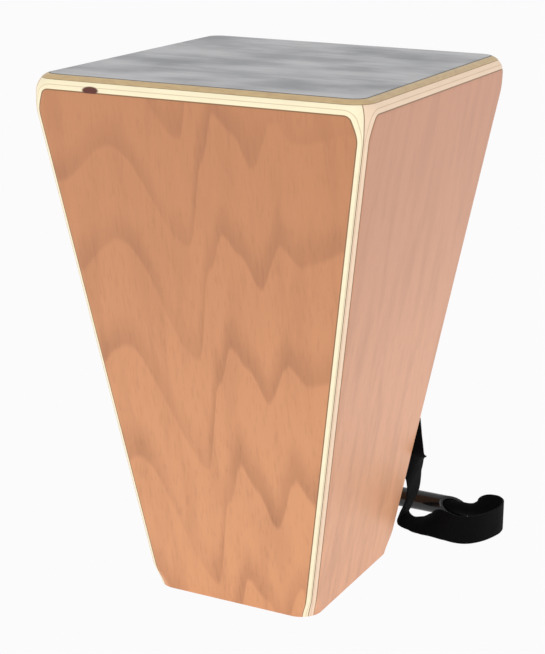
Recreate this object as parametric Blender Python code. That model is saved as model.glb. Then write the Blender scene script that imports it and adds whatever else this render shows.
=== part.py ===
"""A conga cajon: a tapered wooden box drum with a black playing surface and a holding strap.

The four walls taper from the playing surface down to the open base. They are mitred at the
corners, and the outer corners and the top edge are rounded over after gluing. A flat webbing
strap with a hose grip is screwed to the back wall and lies on the floor behind the drum.

Metres, +Z up. The origin is the middle of the base, the front wall faces -Y, and the strap
is at the back. Every piece is one closed mesh and one object.
"""

import math

import bmesh
import bpy
from mathutils import Vector

# The box: outer sizes at the playing surface and at the base, over the flat faces.
TOP_WIDTH = 0.332
TOP_DEPTH = 0.332
BASE_WIDTH = 0.170
BASE_DEPTH = 0.186
HEIGHT = 0.500

# Thickness of the walls, measured level, and of the playing surface.
WALL = 0.012
TOP_PLATE = 0.004

# Rounding of the vertical corners and of the top edge.
CORNER_RADIUS = 0.011
BASE_CORNER_RADIUS = 0.021
TOP_CORNER_RADIUS = 0.026
BASE_CORNER_ZONE = 0.022
TOP_CORNER_ZONE = 0.036
TOP_EDGE_RADIUS = 0.014

# Glued strips inside: a three-sided batten in each corner, and rails under the top plate.
BATTEN_LEG = 0.022
BATTEN_SETBACK = 0.012
RAIL_HEIGHT = 0.018
RAIL_DEPTH = 0.018

# Strap fixings on the back wall.
ANCHOR_HEIGHT = 0.168
ANCHOR_SPACING = 0.166
CLAMP_LENGTH = 0.036
CLAMP_WIDTH = 0.016
CLAMP_THICK = 0.0015
CLAMP_CORNER = 0.004
SCREW_SPACING = 0.018
SCREW_RADIUS = 0.002
SCREW_HEAD_RADIUS = 0.004
SCREW_HEAD_HEIGHT = 0.0022
SCREW_GRIP = 0.008

# Webbing and the hose threaded on it.
STRAP_WIDTH = 0.030
STRAP_THICK = 0.0018
CURL_RADIUS = 0.0061
HOSE_RADIUS = 0.0105
HOSE_BORE_RADIUS = 0.0080
HOSE_LEFT_X = 0.000
HOSE_RIGHT_X = 0.112
HOSE_Y = 0.199
HOSE_MOUTH_SLOPE = 1.0
HOSE_LIP = 0.0006

# Gap kept between pieces that touch.
GAP = 0.0003

# How finely the round stretches are divided.
CORNER_STEPS = 4
EDGE_STEPS = 6
ZONE_STEPS = 4
ROUND_STEPS = 24
STRAP_WIDTH_STEPS = 8
STRAP_ROUTE_STEPS = 4

WOOD_FRONT = (0.62, 0.33, 0.19)
WOOD_SIDE = (0.63, 0.38, 0.27)
PLY_PALE = (0.86, 0.78, 0.56)
STAINED_TOP = (0.40, 0.40, 0.41)
STEEL = (0.60, 0.60, 0.62)
WEBBING_BLACK = (0.012, 0.012, 0.013)
RUBBER_BLACK = (0.015, 0.015, 0.016)

SIDES = ("front", "right", "back", "left")
ALONG_X = Vector((1, 0, 0))
ALONG_Y = Vector((0, 1, 0))
UPRIGHT = Vector((0, 0, 1))


def clear_scene():
    for obj in list(bpy.data.objects):
        bpy.data.objects.remove(obj, do_unlink=True)


def material(name, colour, roughness, metallic=0.0):
    mat = bpy.data.materials.new(name)
    mat.use_nodes = True
    shader = mat.node_tree.nodes["Principled BSDF"]
    shader.inputs["Base Color"].default_value = (*colour, 1.0)
    shader.inputs["Roughness"].default_value = roughness
    shader.inputs["Metallic"].default_value = metallic
    mat.diffuse_color = (*colour, 1.0)
    return mat


def solid(name, rings, mat, ring_shaped=False, smooth=False):
    """A closed mesh through rings of points of one count, with flat ends or closed on itself."""
    bm = bmesh.new()
    loops = [[bm.verts.new(point) for point in ring] for ring in rings]
    pairs = list(zip(loops, loops[1:]))
    if ring_shaped:
        pairs.append((loops[-1], loops[0]))
    else:
        bm.faces.new(list(reversed(loops[0])))
        bm.faces.new(loops[-1])
    count = len(loops[0])
    for low, high in pairs:
        for i in range(count):
            j = (i + 1) % count
            bm.faces.new((low[i], low[j], high[j], high[i]))
    bmesh.ops.recalc_face_normals(bm, faces=bm.faces)
    mesh = bpy.data.meshes.new(name)
    bm.to_mesh(mesh)
    bm.free()
    if smooth:
        mesh.shade_smooth()
        mesh.set_sharp_from_angle(angle=math.radians(35))
    mesh.materials.append(mat)
    obj = bpy.data.objects.new(name, mesh)
    bpy.context.collection.objects.link(obj)
    return obj


def cut(obj, cutter):
    boolean = obj.modifiers.new("cut_" + cutter.name, "BOOLEAN")
    boolean.operation = "DIFFERENCE"
    boolean.object = cutter


# The shape of the box.


def half_width(z):
    return (BASE_WIDTH + (TOP_WIDTH - BASE_WIDTH) * z / HEIGHT) / 2


def half_depth(z):
    return (BASE_DEPTH + (TOP_DEPTH - BASE_DEPTH) * z / HEIGHT) / 2


def inner_half_width(z):
    return half_width(z) - WALL - GAP


def inner_half_depth(z):
    return half_depth(z) - WALL - GAP


def mean_lean():
    """Angle by which the walls lean outwards, on average over the four."""
    spread = TOP_WIDTH + TOP_DEPTH - BASE_WIDTH - BASE_DEPTH
    return math.atan(spread / 4 / HEIGHT)


def edge_inset(z):
    """How far the rounding of the top edge brings the outline in at height z."""
    lean = mean_lean()
    rise = z - (HEIGHT - TOP_EDGE_RADIUS)
    if rise <= -TOP_EDGE_RADIUS * math.sin(lean):
        return 0.0
    arc = math.sqrt(max(TOP_EDGE_RADIUS**2 - rise**2, 0.0))
    return TOP_EDGE_RADIUS / math.cos(lean) + rise * math.tan(lean) - arc


def smooth_step(t):
    t = min(max(t, 0.0), 1.0)
    return t * t * (3 - 2 * t)


def corner_radius(z):
    """Radius of the vertical corners in plan: steady up the wall, and rounder at both ends."""
    at_base = smooth_step(1 - z / BASE_CORNER_ZONE)
    at_top = smooth_step((z - HEIGHT + TOP_CORNER_ZONE) / TOP_CORNER_ZONE)
    extra_base = (BASE_CORNER_RADIUS - CORNER_RADIUS) * at_base
    extra_top = (TOP_CORNER_RADIUS - CORNER_RADIUS) * at_top
    return CORNER_RADIUS + extra_base + extra_top - edge_inset(z)


def wall_top():
    return HEIGHT - TOP_PLATE - GAP


def edge_levels(low, high, steps):
    """Heights at even turns along the rounding of the top edge."""
    centre = HEIGHT - TOP_EDGE_RADIUS
    first = math.asin(max(min((low - centre) / TOP_EDGE_RADIUS, 1.0), -1.0))
    last = math.asin(max(min((high - centre) / TOP_EDGE_RADIUS, 1.0), -1.0))
    turns = [first + (last - first) * i / steps for i in range(steps + 1)]
    return [centre + TOP_EDGE_RADIUS * math.sin(turn) for turn in turns]


def wall_levels():
    """Heights of a wall's outlines, close together only where the shape curves."""
    base_zone = [BASE_CORNER_ZONE * i / ZONE_STEPS for i in range(ZONE_STEPS + 1)]
    arc_start = HEIGHT - TOP_EDGE_RADIUS * (1 + math.sin(mean_lean()))
    zone_start = HEIGHT - TOP_CORNER_ZONE
    step = (arc_start - zone_start) / ZONE_STEPS
    top_zone = [zone_start + step * i for i in range(ZONE_STEPS)]
    return sorted(base_zone + top_zone + edge_levels(arc_start, wall_top(), EDGE_STEPS))


def turned(x, y, quarter_turns):
    for _ in range(quarter_turns):
        x, y = -y, x
    return x, y


def wall_ring(z, quarter_turns):
    """Plan of one wall at height z, from mitre to mitre, turned to its side of the box."""
    along, out = half_width(z), half_depth(z)
    if quarter_turns % 2:
        along, out = out, along
    inset = edge_inset(z)
    radius = corner_radius(z)
    ring = []
    for side, first_turn in ((-1, 135), (1, 90)):
        for i in range(CORNER_STEPS + 1):
            turn = math.radians(first_turn - 45 * i / CORNER_STEPS)
            across = side * (along - inset - radius) + radius * math.cos(turn)
            ring.append([across, out - inset - radius + radius * math.sin(turn)])
    ring.append([along - WALL, out - WALL])
    ring.append([WALL - along, out - WALL])
    mitre_gap = GAP / math.sqrt(2)
    for i, direction in ((0, 1), (-1, 1), (-2, -1), (-3, -1)):
        ring[i][0] += direction * mitre_gap
    return [(*turned(across, -depth, quarter_turns), z) for across, depth in ring]


def plate_ring(z):
    """Plan of the whole rounded box at height z."""
    inset = edge_inset(z)
    radius = corner_radius(z)
    steps = 2 * CORNER_STEPS
    ring = []
    for corner, (side_x, side_y) in enumerate(((1, 1), (-1, 1), (-1, -1), (1, -1))):
        for i in range(steps + 1):
            turn = math.radians(90 * (corner + i / steps))
            x = side_x * (half_width(z) - inset - radius) + radius * math.cos(turn)
            y = side_y * (half_depth(z) - inset - radius) + radius * math.sin(turn)
            ring.append((x, y, z))
    return ring


def build_walls(front_mat, side_mat):
    walls = {}
    for quarter_turns, side in enumerate(SIDES):
        rings = [wall_ring(z, quarter_turns) for z in wall_levels()]
        mat = side_mat if quarter_turns % 2 else front_mat
        walls[side] = solid(side + "_panel", rings, mat)
    return walls


def build_top_plate(mat):
    heights = edge_levels(HEIGHT - TOP_PLATE, HEIGHT, EDGE_STEPS // 2)
    return solid("top_plate", [plate_ring(z) for z in heights], mat)


# Strips glued inside.


def build_battens(mat):
    top = wall_top() - RAIL_HEIGHT - GAP
    for side_x, side_y in ((1, -1), (1, 1), (-1, 1), (-1, -1)):
        rings = []
        for z in (BATTEN_SETBACK, top):
            x = inner_half_width(z)
            y = inner_half_depth(z)
            corners = ((x, y), (x - BATTEN_LEG, y), (x, y - BATTEN_LEG))
            rings.append([(side_x * a, side_y * b, z) for a, b in corners])
        across = "right" if side_x > 0 else "left"
        along = "back" if side_y > 0 else "front"
        solid(f"corner_batten_{along}_{across}", rings, mat)


def build_rails(mat):
    for quarter_turns, side in enumerate(SIDES):
        rings = []
        for z in (wall_top() - RAIL_HEIGHT, wall_top()):
            along = inner_half_width(z)
            out = inner_half_depth(z)
            if quarter_turns % 2:
                along, out = out - RAIL_DEPTH - GAP, along
            inner = out - RAIL_DEPTH
            corners = ((-along, out), (along, out), (along, inner), (-along, inner))
            rings.append([(*turned(a, -b, quarter_turns), z) for a, b in corners])
        solid("top_rail_" + side, rings, mat)


# Strap fixings, placed from the leaning outer face of the back wall.


def back_lean():
    return math.atan((TOP_DEPTH - BASE_DEPTH) / 2 / HEIGHT)


def on_back_wall(x, z, out=0.0, up=0.0):
    """A point out from the back wall and up along it, from where the wall is z high."""
    lean = back_lean()
    y = half_depth(z) + out * math.cos(lean) + up * math.sin(lean)
    return Vector((x, y, z - out * math.sin(lean) + up * math.cos(lean)))


def disc(x, out, radius):
    ring = []
    for i in range(ROUND_STEPS // 2):
        turn = 4 * math.pi * i / ROUND_STEPS
        across = x + radius * math.cos(turn)
        ring.append(on_back_wall(across, ANCHOR_HEIGHT, out, radius * math.sin(turn)))
    return ring


def build_clamp(name, x, mat):
    low = STRAP_THICK + 2 * GAP
    reach = CLAMP_LENGTH / 2 - CLAMP_CORNER
    rise = CLAMP_WIDTH / 2 - CLAMP_CORNER
    rings = []
    for out in (low, low + CLAMP_THICK):
        ring = []
        for corner, (side_x, side_z) in enumerate(((1, 1), (-1, 1), (-1, -1), (1, -1))):
            for i in range(CORNER_STEPS + 1):
                turn = math.radians(90 * (corner + i / CORNER_STEPS))
                across = x + side_x * reach + CLAMP_CORNER * math.cos(turn)
                up = side_z * rise + CLAMP_CORNER * math.sin(turn)
                ring.append(on_back_wall(across, ANCHOR_HEIGHT, out, up))
        rings.append(ring)
    return solid(name, rings, mat)


def build_screw(name, x, mat):
    seat = STRAP_THICK + CLAMP_THICK + 3 * GAP
    profile = (
        (-SCREW_GRIP, SCREW_RADIUS),
        (seat, SCREW_RADIUS),
        (seat, SCREW_HEAD_RADIUS),
        (seat + SCREW_HEAD_HEIGHT * 0.45, SCREW_HEAD_RADIUS * 0.95),
        (seat + SCREW_HEAD_HEIGHT * 0.85, SCREW_HEAD_RADIUS * 0.65),
        (seat + SCREW_HEAD_HEIGHT, SCREW_HEAD_RADIUS * 0.25),
    )
    return solid(name, [disc(x, out, radius) for out, radius in profile], mat, smooth=True)


def screw_hole(name, x, mat):
    """A cutter along the screw, with the clearance round it."""
    past_clamp = STRAP_THICK + CLAMP_THICK + 4 * GAP
    radius = SCREW_RADIUS + GAP
    cutter = solid(name, [disc(x, out, radius) for out in (-SCREW_GRIP - GAP, past_clamp)], mat)
    cutter.hide_render = True
    cutter.display_type = "WIRE"
    return cutter


# Webbing: points of its route, the way that its width lies there, and how far it is curled.


def strap_route():
    out = GAP + STRAP_THICK / 2
    anchor = ANCHOR_SPACING / 2
    axis = HOSE_RADIUS
    mouth = HOSE_RIGHT_X + HOSE_RADIUS * HOSE_MOUTH_SLOPE
    route = [
        (on_back_wall(anchor, ANCHOR_HEIGHT, out, CLAMP_WIDTH), ALONG_X, 0),
        (on_back_wall(anchor, ANCHOR_HEIGHT, out), ALONG_X, 0),
        (on_back_wall(anchor, ANCHOR_HEIGHT, out, -CLAMP_WIDTH), ALONG_X, 0),
        (on_back_wall(0.0889, 0.135, out), ALONG_X, 0),
        (on_back_wall(0.0929, 0.115, out), ALONG_X, 0),
        (on_back_wall(0.0960, 0.100, out + 0.001), ALONG_X, 0),
        (Vector((0.0955, 0.1170, 0.089)), Vector((0.75, 0.65, 0)), 0),
        (Vector((0.0945, 0.1260, 0.077)), Vector((0.2, 1, 0)), 0),
        (Vector((0.0920, 0.1330, 0.062)), ALONG_Y, 0),
        (Vector((0.0860, 0.1430, 0.040)), ALONG_Y, 0),
        (Vector((0.0765, 0.1500, 0.019)), ALONG_Y, 0),
        (Vector((0.0735, 0.1520, 0.009)), ALONG_Y, 0),
        (Vector((0.0790, 0.1530, 0.0038)), ALONG_Y, 0),
        (Vector((0.0880, 0.1525, 0.0046)), Vector((0, 1, 0.1)), 0),
        (Vector((0.0990, 0.1485, 0.0084)), Vector((0, 0.93, 0.37)), 0),
        (Vector((0.1120, 0.1425, 0.0136)), Vector((0, 0.65, 0.76)), 0),
        (Vector((0.1270, 0.1365, 0.0154)), Vector((0, 0.2, 1)), 0),
        (Vector((0.1410, 0.1335, 0.0155)), UPRIGHT, 0),
        (Vector((0.1520, 0.1380, 0.0155)), UPRIGHT, 0),
        (Vector((0.1610, 0.1490, 0.0155)), UPRIGHT, 0),
        (Vector((0.1670, 0.1630, 0.0155)), UPRIGHT, 0),
        (Vector((0.1705, 0.1790, 0.0155)), UPRIGHT, 0),
        (Vector((0.1680, 0.1940, 0.0155)), UPRIGHT, 0),
        (Vector((0.1590, 0.2030, 0.0155)), UPRIGHT, 0.05),
        (Vector((0.1480, 0.2030, 0.0148)), UPRIGHT, 0.35),
        (Vector((mouth + 0.016, HOSE_Y + 0.001, axis + 0.0012)), UPRIGHT, 0.8),
        (Vector((mouth + 0.006, HOSE_Y, axis)), UPRIGHT, 1),
        (Vector((HOSE_RIGHT_X - 0.010, HOSE_Y, axis)), UPRIGHT, 1),
        (Vector(((HOSE_LEFT_X + HOSE_RIGHT_X) / 2, HOSE_Y, axis)), UPRIGHT, 1),
        (Vector((HOSE_LEFT_X, HOSE_Y, axis)), UPRIGHT, 1),
        (Vector((HOSE_LEFT_X - 0.028, HOSE_Y, axis)), UPRIGHT, 1),
        (Vector((-0.0480, 0.1990, 0.0140)), UPRIGHT, 0.5),
        (Vector((-0.0660, 0.1965, 0.0158)), Vector((0, -0.3, 1)), 0),
        (Vector((-0.0840, 0.1900, 0.0130)), Vector((0, -0.75, 0.65)), 0),
        (Vector((-0.1000, 0.1810, 0.0110)), Vector((0, -1, 0.3)), 0),
        (Vector((-0.1110, 0.1720, 0.0220)), -ALONG_Y, 0),
        (Vector((-0.1130, 0.1600, 0.0420)), -ALONG_Y, 0),
        (Vector((-0.1090, 0.1450, 0.0660)), Vector((-0.3, -1, 0)), 0),
        (Vector((-0.1010, 0.1290, 0.0880)), Vector((-0.85, -0.5, 0)), 0),
        (on_back_wall(-0.0930, 0.110, out + 0.002), -ALONG_X, 0),
        (on_back_wall(-0.0860, 0.135, out), -ALONG_X, 0),
        (on_back_wall(-anchor, ANCHOR_HEIGHT, out, -CLAMP_WIDTH), -ALONG_X, 0),
        (on_back_wall(-anchor, ANCHOR_HEIGHT, out), -ALONG_X, 0),
        (on_back_wall(-anchor, ANCHOR_HEIGHT, out, CLAMP_WIDTH), -ALONG_X, 0),
    ]
    return route


def through(before, start, end, after, t):
    """A point on the smooth curve from start to end, which also heeds their neighbours."""
    leave = (end - before) / 2
    arrive = (after - start) / 2
    blend = t * t * (3 - 2 * t)
    point = start * (1 - blend) + end * blend
    return point + leave * (t * (1 - t) ** 2) - arrive * (t * t * (1 - t))


def smooth_route(route):
    stations = []
    last = len(route) - 1
    for i in range(last):
        around = [route[max(i - 1, 0)], route[i], route[i + 1], route[min(i + 2, last)]]
        for step in range(STRAP_ROUTE_STEPS):
            t = step / STRAP_ROUTE_STEPS
            point = through(*[entry[0] for entry in around], t)
            width = route[i][1].lerp(route[i + 1][1], t)
            curl = route[i][2] + (route[i + 1][2] - route[i][2]) * t
            stations.append((point, width, curl))
    stations.append(route[-1])
    return stations


def strap_section(point, ahead, width, curl):
    """Outline of the webbing at one station, flat or rolled up round its own centre line."""
    across = (width - ahead * width.dot(ahead)).normalized()
    face = ahead.cross(across)
    bend = curl / CURL_RADIUS
    sides = ([], [])
    for i in range(STRAP_WIDTH_STEPS + 1):
        place = STRAP_WIDTH * (i / STRAP_WIDTH_STEPS - 0.5)
        if bend:
            turn = place * bend
            sideways = math.sin(turn) / bend
            lift = (1 - math.cos(turn)) / bend - curl * CURL_RADIUS
        else:
            turn, sideways, lift = 0.0, place, 0.0
        middle = point + across * sideways + face * lift
        normal = face * math.cos(turn) - across * math.sin(turn)
        sides[0].append(middle + normal * STRAP_THICK / 2)
        sides[1].append(middle - normal * STRAP_THICK / 2)
    return sides[0] + list(reversed(sides[1]))


def build_strap(mat):
    stations = smooth_route(strap_route())
    rings = []
    for i, (point, width, curl) in enumerate(stations):
        before = stations[max(i - 1, 0)][0]
        after = stations[min(i + 1, len(stations) - 1)][0]
        rings.append(strap_section(point, (after - before).normalized(), width, curl))
    return solid("strap_webbing", rings, mat)


def build_hose(mat):
    """A tube with a straight left end and a right end cut on the slant, on its slide axis."""
    length = HOSE_RIGHT_X - HOSE_LEFT_X
    middle_radius = (HOSE_RADIUS + HOSE_BORE_RADIUS) / 2
    left_end = ((HOSE_RADIUS, 0), (middle_radius, -HOSE_LIP), (HOSE_BORE_RADIUS, 0))
    right_end = ((HOSE_BORE_RADIUS, 0), (middle_radius, HOSE_LIP), (HOSE_RADIUS, 0))
    rings = []
    for side, slant, profile in ((-1, 0, left_end), (1, HOSE_MOUTH_SLOPE, right_end)):
        for radius, lip in profile:
            ring = []
            for i in range(ROUND_STEPS):
                turn = 2 * math.pi * i / ROUND_STEPS
                y = radius * math.cos(turn)
                z = radius * math.sin(turn)
                ring.append((side * length / 2 + lip + slant * (y - z), y, z))
            rings.append(ring)
    hose = solid("hose_grip", rings, mat, ring_shaped=True, smooth=True)
    hose.location = ((HOSE_LEFT_X + HOSE_RIGHT_X) / 2, HOSE_Y, HOSE_RADIUS)
    return hose


def main():
    clear_scene()
    front_wood = material("front_wood", WOOD_FRONT, 0.45)
    side_wood = material("side_wood", WOOD_SIDE, 0.45)
    pale_wood = material("pale_wood", PLY_PALE, 0.60)
    stained_wood = material("stained_wood", STAINED_TOP, 0.40)
    steel = material("steel", STEEL, 0.30, metallic=1.0)
    webbing = material("webbing", WEBBING_BLACK, 0.80)
    rubber = material("rubber", RUBBER_BLACK, 0.25)

    walls = build_walls(front_wood, side_wood)
    build_top_plate(stained_wood)
    build_battens(pale_wood)
    build_rails(pale_wood)
    strap = build_strap(webbing)
    build_hose(rubber)

    for side, sign in (("right", 1), ("left", -1)):
        anchor_x = sign * ANCHOR_SPACING / 2
        clamp = build_clamp("strap_clamp_" + side, anchor_x, steel)
        for place, offset in (("a", -SCREW_SPACING / 2), ("b", SCREW_SPACING / 2)):
            build_screw(f"screw_{side}_{place}", anchor_x + offset, steel)
            hole = screw_hole(f"screw_hole_{side}_{place}", anchor_x + offset, steel)
            cut(walls["back"], hole)
            cut(strap, hole)
            cut(clamp, hole)


main()
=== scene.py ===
import math

import bmesh
import bpy
from mathutils import Matrix, Vector


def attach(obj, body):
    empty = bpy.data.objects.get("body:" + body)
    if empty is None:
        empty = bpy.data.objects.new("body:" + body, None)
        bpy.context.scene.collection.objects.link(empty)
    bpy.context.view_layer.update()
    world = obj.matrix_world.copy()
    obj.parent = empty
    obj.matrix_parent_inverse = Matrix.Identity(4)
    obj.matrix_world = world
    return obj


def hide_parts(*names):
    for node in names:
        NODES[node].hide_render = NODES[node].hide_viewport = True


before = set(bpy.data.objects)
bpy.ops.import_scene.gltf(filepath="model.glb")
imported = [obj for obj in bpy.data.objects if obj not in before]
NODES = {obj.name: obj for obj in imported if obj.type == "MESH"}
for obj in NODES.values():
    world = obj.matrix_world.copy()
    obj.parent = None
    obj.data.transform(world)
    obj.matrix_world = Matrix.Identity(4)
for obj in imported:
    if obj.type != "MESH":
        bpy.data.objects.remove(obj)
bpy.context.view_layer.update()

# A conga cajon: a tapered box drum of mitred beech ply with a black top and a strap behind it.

# The photograph's camera: place in metres, angles in degrees, lens on a 36 mm long side.
CAMERA_PLACE = Vector((0.70278, -1.37472, 0.71567))
CAMERA_YAW = -27.237
CAMERA_PITCH = 16.847
CAMERA_ROLL = 0.277
CAMERA_LENS = 92.904
SENSOR = 36.0

# The box, as built.
TOP_WIDTH = 0.332
TOP_DEPTH = 0.332
BASE_WIDTH = 0.170
BASE_DEPTH = 0.186
HEIGHT = 0.500
WALL = 0.012
TOP_PLATE = 0.004
CORNER_RADIUS = 0.011
BASE_CORNER_RADIUS = 0.021
TOP_CORNER_RADIUS = 0.026
BASE_CORNER_ZONE = 0.022
TOP_CORNER_ZONE = 0.036
TOP_EDGE_RADIUS = 0.014
GAP = 0.0003
CORNER_STEPS = 12
EDGE_STEPS = 18
ZONE_STEPS = 10
SHARP_ANGLE = 35
SIDES = ("front", "right", "back", "left")

# Layers seen where the rounding cuts through the ply: depths below the flat face.
VENEER = 0.00035
GLUE_LINE = 0.00030
MITRE_LINE = 0.0009
SECOND_LINE = 0.0024
STAIN_DEPTH = 0.0005
STAIN_EDGE_DEPTH = 0.00022
# The base corners are cut less deep into the ply than their radius says.
BASE_WEAR = 0.0022

# Strap and hose.
ANCHOR_HEIGHT = 0.168
ANCHOR_SPACING = 0.166
CLAMP_WIDTH = 0.016
STRAP_WIDTH = 0.030
STRAP_THICK = 0.0018
CURL_RADIUS = 0.0061
HOSE_RADIUS = 0.0105
HOSE_BORE_RADIUS = 0.0080
HOSE_LEFT_X = 0.000
HOSE_RIGHT_X = 0.112
HOSE_Y = 0.199
HOSE_MOUTH_SLOPE = 1.0
HOSE_LIP = 0.0006
HOSE_SIDES = 72
STRAP_WIDTH_STEPS = 16
STRAP_ROUTE_STEPS = 10
ALONG_X = Vector((1, 0, 0))
ALONG_Y = Vector((0, 1, 0))
UPRIGHT = Vector((0, 0, 1))


def srgb(code):
    """Linear colour of an sRGB hex code."""
    channels = [int(code[i : i + 2], 16) / 255 for i in (0, 2, 4)]
    linear = [c / 12.92 if c <= 0.04045 else ((c + 0.055) / 1.055) ** 2.4 for c in channels]
    return (*linear, 1.0)


def make_camera():
    yaw, pitch, roll = (math.radians(a) for a in (CAMERA_YAW, CAMERA_PITCH, CAMERA_ROLL))
    flat = math.cos(pitch)
    ahead = Vector((math.sin(yaw) * flat, math.cos(yaw) * flat, -math.sin(pitch)))
    level = Vector((math.cos(yaw), -math.sin(yaw), 0))
    above = level.cross(ahead)
    right = level * math.cos(roll) + above * math.sin(roll)
    up = above * math.cos(roll) - level * math.sin(roll)
    data = bpy.data.cameras.new("camera")
    data.sensor_width = SENSOR
    data.lens = CAMERA_LENS
    camera = bpy.data.objects.new("camera", data)
    bpy.context.collection.objects.link(camera)
    camera.matrix_world = Matrix((right, up, -ahead)).transposed().to_4x4()
    camera.location = CAMERA_PLACE
    bpy.context.scene.camera = camera


def new_object(name, rings, ring_shaped=False, uv=None):
    """A closed smooth mesh through rings of points, with flat ends or closed on itself."""
    bm = bmesh.new()
    loops = [[bm.verts.new(point) for point in ring] for ring in rings]
    pairs = list(zip(loops, loops[1:]))
    if ring_shaped:
        pairs.append((loops[-1], loops[0]))
    else:
        bm.faces.new(list(reversed(loops[0])))
        bm.faces.new(loops[-1])
    for low, high in pairs:
        for i in range(len(low)):
            j = (i + 1) % len(low)
            bm.faces.new((low[i], low[j], high[j], high[i]))
    if uv:
        bm.verts.index_update()
        layer = bm.loops.layers.uv.new("weave")
        for face in bm.faces:
            for corner in face.loops:
                corner[layer].uv = uv[corner.vert.index]
    bmesh.ops.recalc_face_normals(bm, faces=bm.faces)
    mesh = bpy.data.meshes.new(name)
    bm.to_mesh(mesh)
    bm.free()
    mesh.shade_smooth()
    mesh.set_sharp_from_angle(angle=math.radians(SHARP_ANGLE))
    obj = bpy.data.objects.new(name, mesh)
    bpy.context.collection.objects.link(obj)
    weighted = obj.modifiers.new("normals", "WEIGHTED_NORMAL")
    weighted.keep_sharp = True
    return obj


# Shape of the box.


def half_width(z):
    return (BASE_WIDTH + (TOP_WIDTH - BASE_WIDTH) * z / HEIGHT) / 2


def half_depth(z):
    return (BASE_DEPTH + (TOP_DEPTH - BASE_DEPTH) * z / HEIGHT) / 2


def mean_lean():
    return math.atan((TOP_WIDTH + TOP_DEPTH - BASE_WIDTH - BASE_DEPTH) / 4 / HEIGHT)


def edge_inset(z):
    lean = mean_lean()
    rise = z - (HEIGHT - TOP_EDGE_RADIUS)
    if rise <= -TOP_EDGE_RADIUS * math.sin(lean):
        return 0.0
    arc = math.sqrt(max(TOP_EDGE_RADIUS**2 - rise**2, 0.0))
    return TOP_EDGE_RADIUS / math.cos(lean) + rise * math.tan(lean) - arc


def smooth_step(t):
    t = min(max(t, 0.0), 1.0)
    return t * t * (3 - 2 * t)


def corner_radius(z):
    extra_base = (BASE_CORNER_RADIUS - CORNER_RADIUS) * smooth_step(1 - z / BASE_CORNER_ZONE)
    rise = (z - HEIGHT + TOP_CORNER_ZONE) / TOP_CORNER_ZONE
    extra_top = (TOP_CORNER_RADIUS - CORNER_RADIUS) * smooth_step(rise)
    return CORNER_RADIUS + extra_base + extra_top - edge_inset(z)


def edge_levels(low, high, steps):
    centre = HEIGHT - TOP_EDGE_RADIUS
    first = math.asin(max((low - centre) / TOP_EDGE_RADIUS, -1.0))
    last = math.asin(min((high - centre) / TOP_EDGE_RADIUS, 1.0))
    turns = [first + (last - first) * i / steps for i in range(steps + 1)]
    return [centre + TOP_EDGE_RADIUS * math.sin(turn) for turn in turns]


def wall_levels():
    base_zone = [BASE_CORNER_ZONE * i / ZONE_STEPS for i in range(ZONE_STEPS + 1)]
    arc_start = HEIGHT - TOP_EDGE_RADIUS * (1 + math.sin(mean_lean()))
    zone_start = HEIGHT - TOP_CORNER_ZONE
    step = (arc_start - zone_start) / ZONE_STEPS
    top_zone = [zone_start + step * i for i in range(ZONE_STEPS)]
    edge = edge_levels(arc_start, HEIGHT - TOP_PLATE - GAP, EDGE_STEPS)
    return sorted(base_zone + top_zone + edge)


def turned(x, y, quarter_turns):
    for _ in range(quarter_turns):
        x, y = -y, x
    return x, y


def wall_ring(z, quarter_turns):
    along, out = half_width(z), half_depth(z)
    if quarter_turns % 2:
        along, out = out, along
    inset = edge_inset(z)
    radius = corner_radius(z)
    ring = []
    for side, first_turn in ((-1, 135), (1, 90)):
        for i in range(CORNER_STEPS + 1):
            turn = math.radians(first_turn - 45 * i / CORNER_STEPS)
            across = side * (along - inset - radius) + radius * math.cos(turn)
            ring.append([across, out - inset - radius + radius * math.sin(turn)])
    ring.append([along - WALL, out - WALL])
    ring.append([WALL - along, out - WALL])
    for i, direction in ((0, 1), (-1, 1), (-2, -1), (-3, -1)):
        ring[i][0] += direction * GAP / math.sqrt(2)
    return [(*turned(across, -depth, quarter_turns), z) for across, depth in ring]


def plate_ring(z):
    inset = edge_inset(z)
    radius = corner_radius(z)
    steps = 2 * CORNER_STEPS
    ring = []
    for corner, (side_x, side_y) in enumerate(((1, 1), (-1, 1), (-1, -1), (1, -1))):
        for i in range(steps + 1):
            turn = math.radians(90 * (corner + i / steps))
            x = side_x * (half_width(z) - inset - radius) + radius * math.cos(turn)
            y = side_y * (half_depth(z) - inset - radius) + radius * math.sin(turn)
            ring.append((x, y, z))
    return ring


# Strap, along the same route as the frame's.


def on_back_wall(x, z, out, up=0.0):
    lean = math.atan((TOP_DEPTH - BASE_DEPTH) / 2 / HEIGHT)
    y = half_depth(z) + out * math.cos(lean) + up * math.sin(lean)
    return Vector((x, y, z - out * math.sin(lean) + up * math.cos(lean)))


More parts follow.
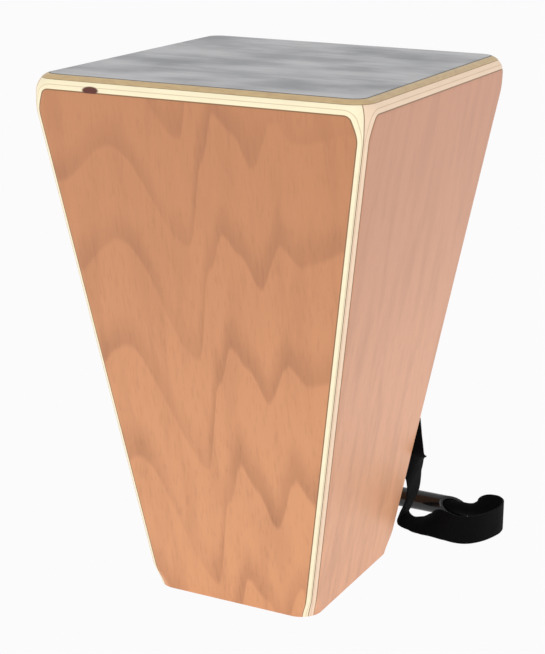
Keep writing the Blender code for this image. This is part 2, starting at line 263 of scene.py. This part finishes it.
def strap_route():
    """Places in metres, the direction across the width there, and the share of full curl."""
    out = GAP + STRAP_THICK / 2
    anchor = ANCHOR_SPACING / 2
    axis = HOSE_RADIUS
    mouth = HOSE_RIGHT_X + HOSE_RADIUS * HOSE_MOUTH_SLOPE
    return [
        (on_back_wall(anchor, ANCHOR_HEIGHT, out, CLAMP_WIDTH), ALONG_X, 0),
        (on_back_wall(anchor, ANCHOR_HEIGHT, out), ALONG_X, 0),
        (on_back_wall(anchor, ANCHOR_HEIGHT, out, -CLAMP_WIDTH), ALONG_X, 0),
        (on_back_wall(0.0889, 0.135, out), ALONG_X, 0),
        (on_back_wall(0.0929, 0.115, out), ALONG_X, 0),
        (on_back_wall(0.0960, 0.100, out + 0.001), ALONG_X, 0),
        (Vector((0.0955, 0.1170, 0.089)), Vector((0.75, 0.65, 0)), 0),
        (Vector((0.0945, 0.1260, 0.077)), Vector((0.2, 1, 0)), 0),
        (Vector((0.0920, 0.1330, 0.062)), ALONG_Y, 0),
        (Vector((0.0860, 0.1430, 0.040)), ALONG_Y, 0),
        (Vector((0.0765, 0.1500, 0.019)), ALONG_Y, 0),
        (Vector((0.0735, 0.1520, 0.009)), ALONG_Y, 0),
        (Vector((0.0790, 0.1530, 0.0038)), ALONG_Y, 0),
        (Vector((0.0880, 0.1525, 0.0046)), Vector((0, 1, 0.1)), 0),
        (Vector((0.0990, 0.1485, 0.0084)), Vector((0, 0.93, 0.37)), 0),
        (Vector((0.1120, 0.1425, 0.0136)), Vector((0, 0.65, 0.76)), 0),
        (Vector((0.1270, 0.1365, 0.0154)), Vector((0, 0.2, 1)), 0),
        (Vector((0.1410, 0.1335, 0.0155)), UPRIGHT, 0),
        (Vector((0.1520, 0.1380, 0.0155)), UPRIGHT, 0),
        (Vector((0.1610, 0.1490, 0.0155)), UPRIGHT, 0),
        (Vector((0.1670, 0.1630, 0.0155)), UPRIGHT, 0),
        (Vector((0.1705, 0.1790, 0.0155)), UPRIGHT, 0),
        (Vector((0.1680, 0.1940, 0.0155)), UPRIGHT, 0),
        (Vector((0.1590, 0.2030, 0.0155)), UPRIGHT, 0.05),
        (Vector((0.1480, 0.2030, 0.0148)), UPRIGHT, 0.35),
        (Vector((mouth + 0.016, HOSE_Y + 0.001, axis + 0.0012)), UPRIGHT, 0.8),
        (Vector((mouth + 0.006, HOSE_Y, axis)), UPRIGHT, 1),
        (Vector((HOSE_RIGHT_X - 0.010, HOSE_Y, axis)), UPRIGHT, 1),
        (Vector(((HOSE_LEFT_X + HOSE_RIGHT_X) / 2, HOSE_Y, axis)), UPRIGHT, 1),
        (Vector((HOSE_LEFT_X, HOSE_Y, axis)), UPRIGHT, 1),
        (Vector((HOSE_LEFT_X - 0.028, HOSE_Y, axis)), UPRIGHT, 1),
        (Vector((-0.0480, 0.1990, 0.0140)), UPRIGHT, 0.5),
        (Vector((-0.0660, 0.1965, 0.0158)), Vector((0, -0.3, 1)), 0),
        (Vector((-0.0840, 0.1900, 0.0130)), Vector((0, -0.75, 0.65)), 0),
        (Vector((-0.1000, 0.1810, 0.0110)), Vector((0, -1, 0.3)), 0),
        (Vector((-0.1110, 0.1720, 0.0220)), -ALONG_Y, 0),
        (Vector((-0.1130, 0.1600, 0.0420)), -ALONG_Y, 0),
        (Vector((-0.1090, 0.1450, 0.0660)), Vector((-0.3, -1, 0)), 0),
        (Vector((-0.1010, 0.1290, 0.0880)), Vector((-0.85, -0.5, 0)), 0),
        (on_back_wall(-0.0930, 0.110, out + 0.002), -ALONG_X, 0),
        (on_back_wall(-0.0860, 0.135, out), -ALONG_X, 0),
        (on_back_wall(-anchor, ANCHOR_HEIGHT, out, -CLAMP_WIDTH), -ALONG_X, 0),
        (on_back_wall(-anchor, ANCHOR_HEIGHT, out), -ALONG_X, 0),
        (on_back_wall(-anchor, ANCHOR_HEIGHT, out, CLAMP_WIDTH), -ALONG_X, 0),
    ]


def through(before, start, end, after, t):
    """A point on the smooth curve from start to end, which also heeds their neighbours."""
    leave = (end - before) / 2
    arrive = (after - start) / 2
    share = t * t * (3 - 2 * t)
    point = start * (1 - share) + end * share
    return point + leave * (t * (1 - t) ** 2) - arrive * (t * t * (1 - t))


def smooth_route(route):
    stations = []
    last = len(route) - 1
    for i in range(last):
        around = [route[max(i - 1, 0)], route[i], route[i + 1], route[min(i + 2, last)]]
        for step in range(STRAP_ROUTE_STEPS):
            t = step / STRAP_ROUTE_STEPS
            point = through(*[entry[0] for entry in around], t)
            width = route[i][1].lerp(route[i + 1][1], t)
            stations.append((point, width, route[i][2] + (route[i + 1][2] - route[i][2]) * t))
    return stations + [route[-1]]


def strap_section(point, ahead, width, curl):
    across = (width - ahead * width.dot(ahead)).normalized()
    face = ahead.cross(across)
    bend = curl / CURL_RADIUS
    sides = ([], [])
    for i in range(STRAP_WIDTH_STEPS + 1):
        place = STRAP_WIDTH * (i / STRAP_WIDTH_STEPS - 0.5)
        turn, sideways, lift = 0.0, place, 0.0
        if bend:
            turn = place * bend
            sideways = math.sin(turn) / bend
            lift = (1 - math.cos(turn)) / bend - curl * CURL_RADIUS
        middle = point + across * sideways + face * lift
        normal = face * math.cos(turn) - across * math.sin(turn)
        sides[0].append(middle + normal * STRAP_THICK / 2)
        sides[1].append(middle - normal * STRAP_THICK / 2)
    return sides[0] + list(reversed(sides[1]))


def make_strap():
    stations = smooth_route(strap_route())
    points = [station[0] for station in stations]
    widths = [STRAP_WIDTH * i / STRAP_WIDTH_STEPS for i in range(STRAP_WIDTH_STEPS + 1)]
    rings, uv, run = [], [], 0.0
    for i, (point, width, curl) in enumerate(stations):
        ahead = (points[min(i + 1, len(points) - 1)] - points[max(i - 1, 0)]).normalized()
        rings.append(strap_section(point, ahead, width, curl))
        run += (point - points[max(i - 1, 0)]).length
        uv += [(across, run) for across in widths + list(reversed(widths))]
    strap = new_object("strap", rings, uv=uv)
    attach(strap, "drum")
    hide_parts("strap_webbing")
    return strap, points, run


def make_hose():
    length = HOSE_RIGHT_X - HOSE_LEFT_X
    middle_radius = (HOSE_RADIUS + HOSE_BORE_RADIUS) / 2
    left_end = ((HOSE_RADIUS, 0), (middle_radius, -HOSE_LIP), (HOSE_BORE_RADIUS, 0))
    right_end = ((HOSE_BORE_RADIUS, 0), (middle_radius, HOSE_LIP), (HOSE_RADIUS, 0))
    middle = Vector(((HOSE_LEFT_X + HOSE_RIGHT_X) / 2, HOSE_Y, HOSE_RADIUS))
    rings = []
    for side, slant, profile in ((-1, 0, left_end), (1, HOSE_MOUTH_SLOPE, right_end)):
        for radius, lip in profile:
            ring = []
            for i in range(HOSE_SIDES):
                turn = 2 * math.pi * i / HOSE_SIDES
                y = radius * math.cos(turn)
                z = radius * math.sin(turn)
                ring.append(middle + Vector((side * length / 2 + lip + slant * (y - z), y, z)))
            rings.append(ring)
    hose = new_object("hose", rings, ring_shaped=True)
    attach(hose, "hose")
    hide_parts("hose_grip")
    return hose


# Materials.

# Growth rings of the front veneer: height of one ring at places across the wall, and their rows.
FIGURE = (
    (-0.140, -0.035),
    (-0.085, 0.000),
    (-0.012, -0.100),
    (0.008, -0.015),
    (0.022, 0.022),
    (0.038, 0.006),
    (0.056, -0.022),
    (0.078, 0.020),
    (0.096, 0.004),
    (0.150, 0.020),
)
FIGURE_LOW = -0.110
FIGURE_RANGE = 0.190
ROW_SPACING = 0.105
ROW_START = 0.340

# A dark knot in the ply below the top's front edge.
KNOT_X = -0.098
KNOT_Z = 0.4895
KNOT_LONG = 0.0085
KNOT_TALL = 0.0034

# Fineness of the noises in the wood, per metre.
FLECK_SCALE = 420.0
STREAK_SCALE = 60.0
DRIFT_SCALE = 9.0
RAGGED_SCALE = 130.0
WAVER_SCALE = 5.0
PLY_STREAK_SCALE = 150.0

# How much each of these shows, from 0 to 1.
RING_SHARE = 0.46
GRAIN_SHARE = 0.20
SIDE_GRAIN_SHARE = 0.30
FLECK_SHARE = 0.16
PLY_STREAK_SHARE = 0.22
SECOND_LINE_SHARE = 0.45
MITRE_LINE_SHARE = 0.75

# How far the growth rings waver slowly and in small teeth, in metres.
WAVER = 0.10
TEETH = 0.006

# One rib and one yarn of the webbing, in metres.
RIB_LENGTH = 0.0013
YARN_WIDTH = 0.0019


class Shader:
    """A new material with short calls to add nodes; a value that is a socket is linked."""

    def __init__(self, name, roughness, metallic=0.0):
        self.material = bpy.data.materials.new(name)
        self.material.use_nodes = True
        self.tree = self.material.node_tree
        self.surface = self.tree.nodes["Principled BSDF"]
        self.surface.inputs["Metallic"].default_value = metallic
        self.put(self.surface.inputs["Roughness"], roughness)

    def put(self, socket, value):
        if isinstance(value, bpy.types.NodeSocket):
            self.tree.links.new(value, socket)
        else:
            socket.default_value = value

    def add(self, kind, values=None, **settings):
        made = self.tree.nodes.new(kind)
        for setting, value in settings.items():
            setattr(made, setting, value)
        for key, value in (values or {}).items():
            self.put(made.inputs[key], value)
        return made

    def math(self, operation, *values):
        return self.add("ShaderNodeMath", dict(enumerate(values)), operation=operation).outputs[0]

    def place(self):
        """Object coordinates as a vector and as three numbers."""
        vector = self.add("ShaderNodeTexCoord").outputs["Object"]
        parts = self.add("ShaderNodeSeparateXYZ", {0: vector})
        return vector, parts.outputs[0], parts.outputs[1], parts.outputs[2]

    def mix(self, share, first, second):
        made = self.add("ShaderNodeMix", data_type="RGBA")
        self.put(made.inputs[0], share)
        self.put(made.inputs[6], first)
        self.put(made.inputs[7], second)
        return made.outputs[2]

    def ramp(self, value, low, high):
        """0 at low, 1 at high, smooth between."""
        values = {"Value": value, "From Min": low, "From Max": high}
        return self.add("ShaderNodeMapRange", values, interpolation_type="SMOOTHSTEP").outputs[0]

    def even_ramp(self, value, low, high):
        values = {"Value": value, "From Min": low, "From Max": high}
        return self.add("ShaderNodeMapRange", values).outputs[0]

    def noise(self, vector, stretch, scale, detail=4.0):
        spread = self.add("ShaderNodeVectorMath", {0: vector, 1: stretch}, operation="MULTIPLY")
        values = {"Vector": spread.outputs[0], "Scale": scale, "Detail": detail}
        return self.add("ShaderNodeTexNoise", values).outputs["Fac"]

    def finish(self, colour, bump=None, strength=0.2, distance=0.0002):
        self.put(self.surface.inputs["Base Color"], colour)
        if bump is not None:
            values = {"Height": bump, "Strength": strength, "Distance": distance}
            made = self.add("ShaderNodeBump", values)
            self.put(self.surface.inputs["Normal"], made.outputs[0])
        return self.material


def cathedral_height(shader, x):
    """Height by which the growth rings rise and fall across the front veneer, in metres."""
    share = shader.even_ramp(x, -TOP_WIDTH / 2, TOP_WIDTH / 2)
    made = shader.add("ShaderNodeValToRGB", {0: share})
    made.color_ramp.interpolation = "EASE"
    while len(made.color_ramp.elements) < len(FIGURE):
        made.color_ramp.elements.new(0.5)
    for element, (place, height) in zip(made.color_ramp.elements, FIGURE):
        rise = (height - FIGURE_LOW) / FIGURE_RANGE
        element.position = place / TOP_WIDTH + 0.5
        element.color = (rise, rise, rise, 1)
    return shader.math("MULTIPLY_ADD", made.outputs[0], FIGURE_RANGE, FIGURE_LOW)


# The second colour of each wall's three is painted light: a lighter tone for the lower wall that
# stands in for light thrown up from the floor.
FRONT_LIGHT = srgb("BC7F55")
FRONT_LOW_PAINTED_LIGHT = srgb("D49567")
FRONT_DARK = srgb("9C6542")
SIDE_LIGHT = srgb("C58967")
SIDE_LOW_PAINTED_LIGHT = srgb("E8AB82")
SIDE_DARK = srgb("AC7656")
KNOT_BROWN = srgb("5A2A20")
PLY_CREAM = srgb("FAF0CD")
PLY_PINK = srgb("F3D8BC")
GLUE_BROWN = srgb("A98A68")
GLUE_DARK = srgb("86623F")
TAN_PLY = srgb("D2B985")
# The two top colours below are painted sheen: light greys that stand in for the bright surroundings
# reflected in the black stain.
STAIN_WITH_PAINTED_SHEEN = srgb("B0B0B2")
STAIN_DARK_WITH_PAINTED_SHEEN = srgb("75767A")
STAIN_EDGE = srgb("2C2A28")
WEBBING_DARK = srgb("020202")
WEBBING_LIGHT = srgb("0C0C0E")
HOSE_DARK = srgb("08080A")
HOSE_LIGHT = srgb("161618")
STEEL_LIGHT = srgb("C9C9CC")
STEEL_DARK = srgb("A2A2A6")
PAPER = srgb("FCFBFC")
PAPER_SHADE = srgb("BCBCBE")


def knot(shader, x, z):
    across = shader.math("DIVIDE", shader.math("SUBTRACT", x, KNOT_X), KNOT_LONG)
    above = shader.math("DIVIDE", shader.math("SUBTRACT", z, KNOT_Z), KNOT_TALL)
    squares = shader.math("MULTIPLY_ADD", across, across, shader.math("MULTIPLY", above, above))
    return shader.ramp(squares, 1.2, 0.6)


def wall_material(name, across_x, cathedral, light, painted_low_light, dark, ply):
    """Beech veneer over layered ply, painted lighter towards the bottom as painted light from the
    floor. Depth below the wall's own face tells the layers apart.
    """
    shader = Shader(name, 0.42)
    vector, x, y, z = shader.place()
    if across_x:
        depth_axis, base, top = y, BASE_DEPTH, TOP_DEPTH
        side_axis, side_base, side_top = x, BASE_WIDTH, TOP_WIDTH
    else:
        depth_axis, base, top = x, BASE_WIDTH, TOP_WIDTH
        side_axis, side_base, side_top = y, BASE_DEPTH, TOP_DEPTH
    face = shader.math("MULTIPLY_ADD", z, (top - base) / 2 / HEIGHT, base / 2)
    below = shader.math("SUBTRACT", face, shader.math("ABSOLUTE", depth_axis))
    side_face = shader.math("MULTIPLY_ADD", z, (side_top - side_base) / 2 / HEIGHT, side_base / 2)
    side_below = shader.math("SUBTRACT", side_face, shader.math("ABSOLUTE", side_axis))
    from_mitre = shader.math("ABSOLUTE", shader.math("SUBTRACT", below, side_below))
    worn = shader.math("MULTIPLY_ADD", shader.ramp(z, BASE_CORNER_ZONE, 0.0), BASE_WEAR, VENEER)
    depth = shader.math("SUBTRACT", below, worn)

    flecks = shader.noise(vector, (1, 1, 0.06), FLECK_SCALE, 2.0)
    streaks = shader.noise(vector, (1, 1, 0.04), STREAK_SCALE, 4.0)
    drift = shader.noise(vector, (1, 1, 0.35), DRIFT_SCALE, 2.0)
    grain = shader.ramp(streaks, 0.40, 0.72)
    if cathedral:
        ragged = shader.noise(vector, (1, 1, 0.3), RAGGED_SCALE, 3.0)
        slow = shader.noise(vector, (1, 1, 0.8), WAVER_SCALE, 1.0)
        waver = shader.math("MULTIPLY_ADD", slow, WAVER, -ROW_START - WAVER / 2)
        waver = shader.math("MULTIPLY_ADD", ragged, TEETH, waver)
        level = shader.math("SUBTRACT", shader.math("ADD", z, waver), cathedral_height(shader, x))
        rows = shader.math("FRACT", shader.math("DIVIDE", level, ROW_SPACING))
        rise = shader.ramp(rows, 0.0, 0.07)
        fall = shader.ramp(rows, 0.45, 0.06)
        strength = shader.even_ramp(drift, 0.30, 0.62)
        rings = shader.math("MULTIPLY", shader.math("MULTIPLY", rise, fall), strength)
        fine = shader.math("MULTIPLY", grain, GRAIN_SHARE)
        share = shader.math("MULTIPLY_ADD", rings, RING_SHARE, fine)
    else:
        both = shader.math("ADD", grain, drift)
        share = shader.math("MULTIPLY", both, SIDE_GRAIN_SHARE)
    fleck = shader.math("MULTIPLY", shader.ramp(flecks, 0.50, 0.72), FLECK_SHARE)
    share = shader.math("MINIMUM", shader.math("ADD", share, fleck), 1.0)
    # Painted light: the veneer is painted lighter towards the bottom, for light from the floor
    # below.
    body = shader.mix(shader.ramp(z, HEIGHT, 0.0), light, painted_low_light)
    veneer = shader.mix(share, body, dark)

    ply_streaks = shader.noise(vector, (0.2, 0.2, 1), PLY_STREAK_SCALE, 3.0)
    core = shader.mix(shader.math("MULTIPLY", ply_streaks, PLY_STREAK_SHARE), ply, GLUE_BROWN)
    second = shader.math("SUBTRACT", depth, SECOND_LINE - VENEER)
    second_line = shader.ramp(shader.math("ABSOLUTE", second), GLUE_LINE, GLUE_LINE / 3)
    core = shader.mix(shader.math("MULTIPLY", second_line, SECOND_LINE_SHARE), core, GLUE_BROWN)
    first_line = shader.ramp(depth, GLUE_LINE * 1.2, GLUE_LINE * 0.8)
    core = shader.mix(first_line, core, GLUE_DARK)
    mitre_line = shader.ramp(from_mitre, MITRE_LINE, MITRE_LINE / 3)
    core = shader.mix(shader.math("MULTIPLY", mitre_line, MITRE_LINE_SHARE), core, GLUE_DARK)
    outside = shader.ramp(depth, 0.00003, -0.00003)
    if cathedral:
        on_front = shader.ramp(y, 0.0, -WALL)
        knot_share = shader.math("MULTIPLY", knot(shader, x, z), on_front)
        core = shader.mix(knot_share, core, KNOT_BROWN)
    return shader.finish(shader.mix(outside, core, veneer), streaks, 0.10)


def top_material():
    """Ply stained black, its face painted in mottled light greys as a painted sheen of the bright
    surroundings, with its tan edge showing below the stain.
    """
    shader = Shader("stained_top_with_painted_sheen", 0.36)
    vector, _, _, z = shader.place()
    streaks = shader.noise(vector, (0.03, 1, 1), 130.0, 5.0)
    clouds = shader.noise(vector, (0.6, 1, 1), 16.0, 8.0)
    uneven = shader.math("MULTIPLY_ADD", clouds, 0.8, shader.math("MULTIPLY", streaks, 0.2))
    # Painted sheen: the face is painted light grey for the reflection of the bright surroundings.
    face = shader.mix(shader.ramp(uneven, 0.36, 0.66), STAIN_WITH_PAINTED_SHEEN, STAIN_DARK_WITH_PAINTED_SHEEN)
    rim = shader.ramp(z, HEIGHT - STAIN_EDGE_DEPTH * 0.8, HEIGHT - STAIN_EDGE_DEPTH * 1.2)
    face = shader.mix(rim, face, STAIN_EDGE)
    edge = shader.mix(shader.noise(vector, (1, 1, 6), 90.0), TAN_PLY, GLUE_BROWN)
    stained = shader.ramp(z, HEIGHT - STAIN_DEPTH * 1.1, HEIGHT - STAIN_DEPTH * 0.9)
    return shader.finish(shader.mix(stained, edge, face), streaks, 0.12)


def strip_material():
    shader = Shader("pale_strips", 0.6)
    vector = shader.place()[0]
    streaks = shader.noise(vector, (1, 1, 0.08), 120.0)
    return shader.finish(shader.mix(streaks, PLY_CREAM, TAN_PLY), streaks, 0.2)


def webbing_material():
    shader = Shader("woven_webbing", 0.75)
    shader.surface.inputs["Specular IOR Level"].default_value = 0.06
    weave = shader.add("ShaderNodeUVMap", uv_map="weave").outputs[0]
    parts = shader.add("ShaderNodeSeparateXYZ", {0: weave})
    ribs = shader.math("SINE", shader.math("MULTIPLY", parts.outputs[1], 2 * math.pi / RIB_LENGTH))
    yarns = shader.math("SINE", shader.math("MULTIPLY", parts.outputs[0], 2 * math.pi / YARN_WIDTH))
    height = shader.math("MULTIPLY", ribs, yarns)
    share = shader.math("MULTIPLY_ADD", height, 0.5, 0.5)
    return shader.finish(shader.mix(share, WEBBING_DARK, WEBBING_LIGHT), height, 0.5, 0.0003)


def hose_material():
    shader = Shader("glossy_hose", 0.16)
    vector = shader.place()[0]
    scuffs = shader.noise(vector, (1, 1, 1), 160.0)
    return shader.finish(shader.mix(scuffs, HOSE_DARK, HOSE_LIGHT), scuffs, 0.05)


def steel_material():
    shader = Shader("plated_steel", 0.3, metallic=1.0)
    vector = shader.place()[0]
    brushed = shader.noise(vector, (0.1, 1, 1), 900.0)
    return shader.finish(shader.mix(brushed, STEEL_LIGHT, STEEL_DARK), brushed, 0.1)


def dress(obj, material):
    obj.data.materials.clear()
    obj.data.materials.append(material)


def make_walls():
    front = wall_material("beech_front", True, True, FRONT_LIGHT, FRONT_LOW_PAINTED_LIGHT, FRONT_DARK, PLY_CREAM)
    side = wall_material("beech_side", False, False, SIDE_LIGHT, SIDE_LOW_PAINTED_LIGHT, SIDE_DARK, PLY_PINK)
    for quarter_turns, name in enumerate(SIDES):
        rings = [wall_ring(z, quarter_turns) for z in wall_levels()]
        wall = new_object(name + "_wall", rings)
        dress(wall, side if quarter_turns % 2 else front)
        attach(wall, "drum")
        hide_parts(name + "_panel")


def make_top():
    rings = [plate_ring(z) for z in edge_levels(HEIGHT - TOP_PLATE, HEIGHT, EDGE_STEPS)]
    top = new_object("playing_surface", rings)
    dress(top, top_material())
    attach(top, "drum")
    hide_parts("top_plate")


def dress_frame_nodes():
    strips = strip_material()
    steel = steel_material()
    for name, obj in NODES.items():
        if name.startswith(("corner_batten", "top_rail")):
            dress(obj, strips)
        elif name.startswith(("screw", "strap_clamp")):
            dress(obj, steel)


# Light and floor; angles in degrees.

FLOOR_REACH = 30.0
FLOOR_DROP = 0.0002
FLOOR_GLOW = 0.72
WORLD_STRENGTH = 0.92
SUN_STRENGTH = 0.9
SUN_WIDTH = 50
SUN_TILT = 42
SUN_TURN = 12


def make_floor():
    """A plain tone to the camera, and a bright diffuse floor to everything else."""
    mesh = bpy.data.meshes.new("floor")
    turns = ((-1, -1), (1, -1), (1, 1), (-1, 1))
    corners = [(x * FLOOR_REACH, y * FLOOR_REACH, 0) for x, y in turns]
    mesh.from_pydata(corners, [], [(0, 1, 2, 3)])
    floor = bpy.data.objects.new("floor", mesh)
    bpy.context.collection.objects.link(floor)
    floor.location.z = -FLOOR_DROP
    shader = Shader("paper_floor", 0.9)
    shader.surface.inputs["Emission Color"].default_value = PAPER
    shader.surface.inputs["Emission Strength"].default_value = FLOOR_GLOW
    ray = shader.add("ShaderNodeLightPath").outputs["Is Camera Ray"]
    plain = shader.add("ShaderNodeEmission", {"Color": PAPER}).outputs[0]
    diffuse = shader.surface.outputs[0]
    seen = shader.add("ShaderNodeMixShader", {0: ray, 1: diffuse, 2: plain})
    shader.put(shader.tree.nodes["Material Output"].inputs["Surface"], seen.outputs[0])
    dress(floor, shader.finish(PAPER_SHADE))


def make_light():
    world = bpy.data.worlds.new("studio")
    bpy.context.scene.world = world
    world.use_nodes = True
    tree = world.node_tree
    tree.nodes.clear()
    seen = tree.nodes.new("ShaderNodeBackground")
    seen.inputs[0].default_value = PAPER
    lit = tree.nodes.new("ShaderNodeBackground")
    lit.inputs[1].default_value = WORLD_STRENGTH
    ray = tree.nodes.new("ShaderNodeLightPath")
    mix = tree.nodes.new("ShaderNodeMixShader")
    output = tree.nodes.new("ShaderNodeOutputWorld")
    tree.links.new(ray.outputs["Is Camera Ray"], mix.inputs[0])
    tree.links.new(lit.outputs[0], mix.inputs[1])
    tree.links.new(seen.outputs[0], mix.inputs[2])
    tree.links.new(mix.outputs[0], output.inputs[0])
    data = bpy.data.lights.new("key", "SUN")
    data.energy = SUN_STRENGTH
    data.angle = math.radians(SUN_WIDTH)
    key = bpy.data.objects.new("key", data)
    bpy.context.collection.objects.link(key)
    key.rotation_euler = (math.radians(SUN_TILT), 0, math.radians(SUN_TURN))


def main():
    bpy.context.scene.view_settings.view_transform = "Standard"
    make_camera()
    strap, points, length = make_strap()
    hose = make_hose()
    dress(strap, webbing_material())
    dress(hose, hose_material())
    make_walls()
    make_top()
    dress_frame_nodes()
    make_floor()
    make_light()


main()
